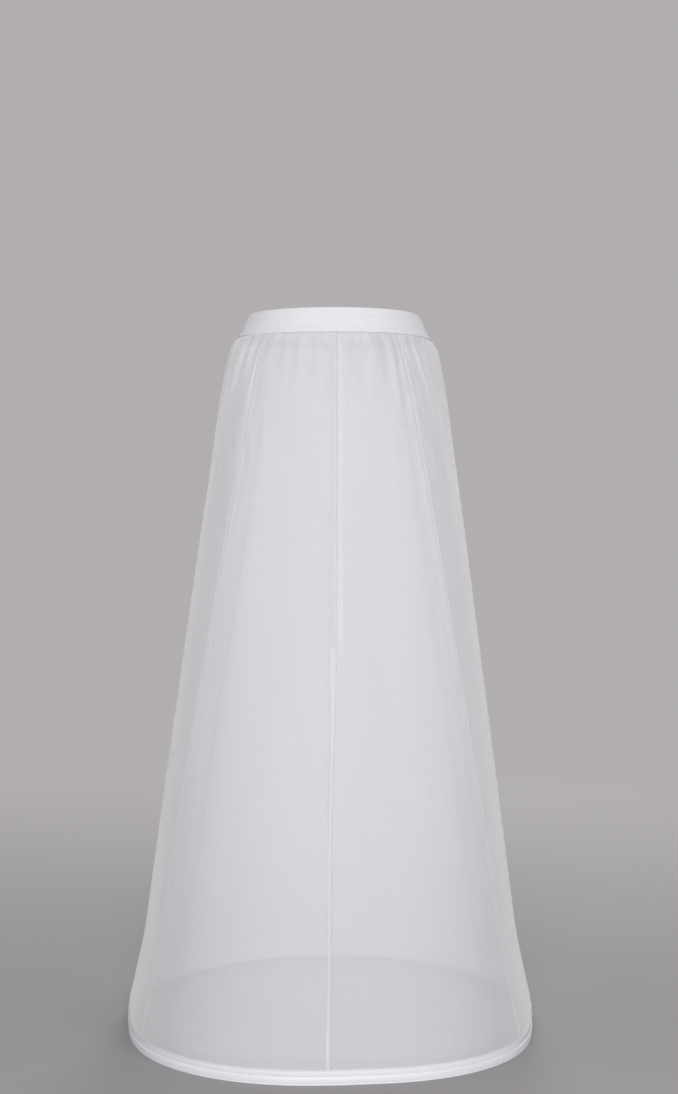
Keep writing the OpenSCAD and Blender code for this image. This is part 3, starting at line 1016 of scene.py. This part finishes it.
# Casing section: a tape folded up round the hoop, with its two edges sewn either side of the cloth
casing = {
    "legHalf": 1.15 * mm,
    "slotHalf": 0.5 * mm,
    "tubeHalf": 2.45 * mm,
    "channelHalf": 1.75 * mm,
    "lipHalf": 2.1 * mm,
    "lipHigh": 2.2 * mm,
    "lipNeck": 1.5 * mm,
    "waistZ": 10.9 * mm,  # stitched groove above the tube
    "waistHalf": 0.8 * mm,
    "legTop": ((-0.2, 0.0), (0.3, 0.3), (0.3, 0.9), (-0.15, 1.7), (0.0, 2.6)),  # mm out and down
    "legLow": ((0.15, 15), (0.2, 12.2)),  # mm out, and height
    "tubeSteps": 12,
    "tubePower": 0.6,
    "lipEase": 0.1 * mm,
    "lipShoulder": 0.5 * mm,
    "lipToe": 0.4 * mm,
    "lipFoot": 0.45 * mm,
    "slotTop": 0.1 * mm,
    "slotLow": 0.3 * mm,
    "floorZ": 1.6 * mm,
    "channelTop": 9.5 * mm,
    "steps": 400,
    "pucker": 0.35 * mm,
    "puckerScale": 130,
}


def casingSection():
    top, leg, lip = skirt["hemZ"], casing["legHalf"], casing["lipHalf"]
    waistZ, lipHigh = casing["waistZ"], casing["lipHigh"]
    outside = [(leg + out * mm, top - down * mm) for out, down in casing["legTop"]]
    outside += [(leg + out * mm, z * mm) for out, z in casing["legLow"]]
    outside.append((casing["waistHalf"], waistZ))
    for i in range(1, casing["tubeSteps"]):
        angle = math.pi * (i / casing["tubeSteps"] - 0.5)
        bulge = math.cos(angle) ** casing["tubePower"]
        start = casing["waistHalf"] if angle < 0 else casing["lipNeck"]
        z = (waistZ + lipHigh) / 2 - (waistZ - lipHigh) / 2 * math.sin(angle)
        outside.append((start + (casing["tubeHalf"] - start) * bulge, z))
    outside += [
        (casing["lipNeck"], lipHigh), (lip - casing["lipEase"], lipHigh - casing["lipShoulder"]),
        (lip, lipHigh / 2), (lip - casing["lipEase"], casing["lipToe"]), (lip - casing["lipFoot"], 0.0),
    ]
    inside = [
        (casing["slotHalf"], top - casing["slotTop"]), (casing["slotHalf"], waistZ - casing["slotLow"]),
        (casing["channelHalf"], casing["channelTop"]), (casing["channelHalf"], casing["floorZ"]),
    ]
    left = [(-x, z) for x, z in reversed(outside)]
    return outside + left + [(-x, z) for x, z in inside] + list(reversed(inside))


def sectionCurve(name, outline):
    return curveObject(name, [np.array([(x, -z, 0.0) for x, z in outline])], True)


sweepTree = makeSweepTree()
stitchTree = makeStitchTree()


def sweepPiece(name, turns, closed, outline, finish, pucker=0.0, puckerScale=1.0):
    path = curveObject(name + "Path", [hemPoint(turns)], closed)
    section = sectionCurve(name + "Section", outline)
    values = {"Section": section, "Caps": not closed, "Pucker": pucker,
              "Pucker Scale": puckerScale, "Finish": finish}
    piece = treeToMesh(path, sweepTree, values, name)
    bpy.data.objects.remove(section)
    ringUv(piece)
    return piece


wholeTurn = np.linspace(0, 2 * np.pi, casing["steps"], endpoint=False)
casingPiece = sweepPiece("hemCasing", wholeTurn, True, casingSection(), tapeCloth,
                         casing["pucker"], casing["puckerScale"])
for vertex in casingPiece.data.vertices:
    vertex.co.z = max(vertex.co.z, 0.0)

# Sprung strip on edge in the casing, its ends in a crimped sleeve
strip = {
    "wide": 7 * mm,
    "thick": 1.6 * mm,
    "round": 0.4 * mm,
    "floorZ": 1.6 * mm,
    "steps": 360,
    "fit": 0.08 * mm,  # room in the sleeve
    "wall": 0.5 * mm,
    "sleeveRound": 0.6 * mm,
    "sleeveSteps": 24,
    "crimp": 0.1 * mm,
    "crimpScale": 200,
}


def roundedBox(halfX, lowZ, highZ, corner):
    outline = []
    for cx, cz, start in ((halfX, highZ, 0), (-halfX, highZ, 90), (-halfX, lowZ, 180), (halfX, lowZ, 270)):
        px, pz = cx - math.copysign(corner, cx), cz - (corner if cz == highZ else -corner)
        for step in range(4):  # a quarter turn in three steps
            angle = math.radians(start + 30 * step)
            outline.append((px + corner * math.cos(angle), pz + corner * math.sin(angle)))
    return outline


def joinTurn(length):
    return length / 2 / skirt["hemRadius"]


stripTop = strip["floorZ"] + strip["wide"]
gapTurn, sleeveTurn = joinTurn(hoopJoin["gap"]), joinTurn(hoopJoin["sleeve"])
stripTurns = np.linspace(hoopJoin["turn"] + gapTurn, hoopJoin["turn"] - gapTurn + 2 * np.pi, strip["steps"])
stripOutline = roundedBox(strip["thick"] / 2, strip["floorZ"], stripTop, strip["round"])
stripPiece = sweepPiece("sprungStrip", stripTurns, False, stripOutline, stripCoat)

sleeveTurns = np.linspace(hoopJoin["turn"] - sleeveTurn, hoopJoin["turn"] + sleeveTurn, strip["sleeveSteps"])
grow = strip["fit"] + strip["wall"]
sleeveOutline = roundedBox(strip["thick"] / 2 + grow, strip["floorZ"] - grow, stripTop + grow,
                           strip["sleeveRound"])
sleevePiece = sweepPiece("crimpedSleeve", sleeveTurns, False, sleeveOutline, sleeveSteel,
                         strip["crimp"], strip["crimpScale"])
print("hem made:", len(casingPiece.data.polygons), "casing faces")

# Stitches along the seams, the casing and the elastic
stitchUneven = 0.15
seamStitches = {"spacing": 3.0 * mm, "length": 2.3 * mm, "thread": 0.2 * mm, "sink": 0.45 * mm}
casingStitches = {"spacing": 3.0 * mm, "length": 2.4 * mm, "thread": 0.2 * mm, "rows": (10.9 * mm, 18.2 * mm)}


def seamRuns():
    runs = []
    shown = (fineZ < skirt["topZ"] - seamSettings["topClear"]) & (fineZ > skirt["hemZ"])
    for k in range(len(gores)):
        column = goreStart(k)
        ring = fineSkirt[:, [(column + d) % fineSkirt.shape[1] for d in (-1, 0, 1)]]
        normal = outwardNormals(ring)[:, 1]
        runs.append((ring[:, 1] - normal * seamStitches["sink"])[shown])
    return runs


def casingRuns():
    runs = []
    base = hemPoint(wholeTurn)
    out = base[:, :2] / np.linalg.norm(base[:, :2], axis=1, keepdims=True)
    for z, half in zip(casingStitches["rows"], (casing["waistHalf"], casing["legHalf"])):
        for side in (1, -1):
            line = base.copy()
            line[:, :2] += out * side * half
            line[:, 2] = z
            runs.append(np.concatenate([line, line[:1]]))
    return runs


def elasticRuns():
    turn = np.linspace(0, 2 * np.pi, bandStitches["steps"])
    surface = elastic["thick"] + elastic["rimOut"] - bandStitches["sink"]
    lap = lapShare(turn) * elastic["thick"] * elastic["lapOut"]
    runs = [elasticPoint(turn, np.full_like(turn, h), surface + lap) for h in bandStitches["heights"]]
    across = (elastic["lap"] / 2 - bandStitches["boxInset"]) / elastic["lowX"]
    low, high = bandStitches["boxLow"], elastic["height"] - bandStitches["boxDrop"]
    count = bandStitches["boxSteps"]
    raised = np.full(count, elastic["thick"] * (1 + elastic["lapOut"]))
    for edge in (-1, 1):
        side = np.full(count, np.pi + edge * across)
        runs.append(elasticPoint(side, np.linspace(low, high, count), raised))
    for h in (low, high):
        level = np.linspace(np.pi - across, np.pi + across, count)
        runs.append(elasticPoint(level, np.full(count, h), raised))
    return runs


def stitchPiece(name, runs, settings, seed):
    values = {"Spacing": settings["spacing"], "Length": settings["length"], "Thread": settings["thread"],
              "Uneven": stitchUneven, "Seed": seed, "Finish": threadCloth}
    return treeToMesh(curveObject(name + "Path", runs, False), stitchTree, values, name)


seamThread = stitchPiece("seamStitches", seamRuns(), seamStitches, 1)
casingThread = stitchPiece("casingStitches", casingRuns(), casingStitches, 2)
elasticThread = stitchPiece("waistbandStitches", elasticRuns(), bandStitches, 3)
print("stitches made:", [len(p.data.polygons) for p in (seamThread, casingThread, elasticThread)])

# Every piece rides on the one body
for gore in gores:
    piece = gore["piece"]
    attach(piece, "root")
    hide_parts(gore["node"])
for piece, node, slot in ((elasticPiece, "waistband", "elastic"), (casingPiece, "hem_casing", "hem_tape"),
                          (stripPiece, "hoop", "hoop_strip"), (sleevePiece, "hoop_joiner", "sleeve")):
    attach(piece, "root")
    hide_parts(node)
for piece, slot in ((seamThread, "sheer_cloth"), (casingThread, "hem_tape"), (elasticThread, "elastic")):
    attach(piece, "root")

# Studio: pale seamless floor, soft front light
studio = {
    "background": (0.445, 0.425, 0.437),
    "ambient": 0.30,
    "ambientColour": (1.0, 0.985, 1.0),
    "floor": (0.37, 0.355, 0.365),
    "floorRough": 0.9,
    "floorSize": 30.0,
    "fadeRange": (0.5, 2.4),  # the floor passes into the background between these distances
}
lamps = [  # name, place, aim, size and power
    ("keyLight", (0.0, -3.7, 1.2), (0, 0, 0.6), 1.8, 90),
    ("rightLight", (1.8, -1.8, 1.8), (0, 0, 0.8), 1.2, 9.5),
    ("leftLight", (-1.6, -0.4, 1.7), (0, 0, 0.8), 1.2, 3.5),
    ("backLight", (0.3, 3.7, 1.5), (0, 0, 0.62), 1.8, 60),
    ("backRightLight", (2.2, 2.4, 1.6), (0, 0, 0.65), 2.0, 16),
    ("backLeftLight", (-2.2, 2.4, 1.6), (0, 0, 0.65), 2.0, 6),
]


# Rays that show the background: straight from the camera, mirrored, or through a clear piece
def seenRays(tree):
    rays = addNode(tree, "ShaderNodeLightPath").outputs
    mirrored = calc(tree, "MAXIMUM", rays["Is Camera Ray"], rays["Is Glossy Ray"])
    return calc(tree, "MAXIMUM", mirrored, rays["Is Transmission Ray"])


def blendShaders(tree, share, first, second, output):
    blend = addNode(tree, "ShaderNodeMixShader", {"Fac": share, 1: first.outputs[0], 2: second.outputs[0]})
    tree.links.new(blend.outputs[0], tree.nodes[output].inputs["Surface"])


def makeFloor():
    mesh = bpy.data.meshes.new("studioFloor")
    s = studio["floorSize"]
    mesh.from_pydata([(-s, -s, 0), (s, -s, 0), (s, s, 0), (-s, s, 0)], [], [(0, 1, 2, 3)])
    floor = addObject("studioFloor", mesh)
    material, tree, shader = newMaterial("paperFloor")
    shader.inputs["Base Color"].default_value = (*studio["floor"], 1)
    shader.inputs["Roughness"].default_value = studio["floorRough"]
    place = addNode(tree, "ShaderNodeTexCoord").outputs["Object"]
    away = addNode(tree, "ShaderNodeVectorMath", {0: place}, operation="LENGTH").outputs["Value"]
    shown = calc(tree, "MULTIPLY", ranged(tree, away, 0, 1, *studio["fadeRange"]), seenRays(tree))
    glow = addNode(tree, "ShaderNodeEmission", {"Color": (*studio["background"], 1)})
    blendShaders(tree, shown, shader, glow, "Material Output")
    mesh.materials.append(material)


def makeWorld():
    world = bpy.data.worlds.new("studioWorld")
    bpy.context.scene.world = world
    world.use_nodes = True
    tree = world.node_tree
    light = tree.nodes["Background"]
    light.inputs["Color"].default_value = (*studio["ambientColour"], 1)
    light.inputs["Strength"].default_value = studio["ambient"]
    back = addNode(tree, "ShaderNodeBackground", {"Color": (*studio["background"], 1)})
    blendShaders(tree, seenRays(tree), light, back, "World Output")


def areaLight(name, place, aim, size, power):
    data = bpy.data.lights.new(name, "AREA")
    data.shape, data.size, data.energy = "DISK", size, power
    lamp = addObject(name, data)
    lamp.visible_camera = False
    lamp.location = place
    lamp.rotation_euler = (Vector(aim) - Vector(place)).to_track_quat("-Z", "Y").to_euler()


makeFloor()
makeWorld()
for lamp in lamps:
    areaLight(*lamp)
print("studio made:", len(lamps), "lamps")

# Camera at the photograph's place: level, in front, about two thirds up
cameraSettings = {"side": 13.5 * mm, "distance": 2.169, "height": 0.696, "lens": 36 * 1447 / 1094}
camera = addObject("frontCamera", bpy.data.cameras.new("frontCamera"))
camera.data.lens = cameraSettings["lens"]
camera.location = (cameraSettings["side"], -cameraSettings["distance"], cameraSettings["height"])
camera.rotation_euler = (math.pi / 2, 0, 0)
bpy.context.scene.camera = camera
bpy.context.scene.view_settings.view_transform = "Standard"
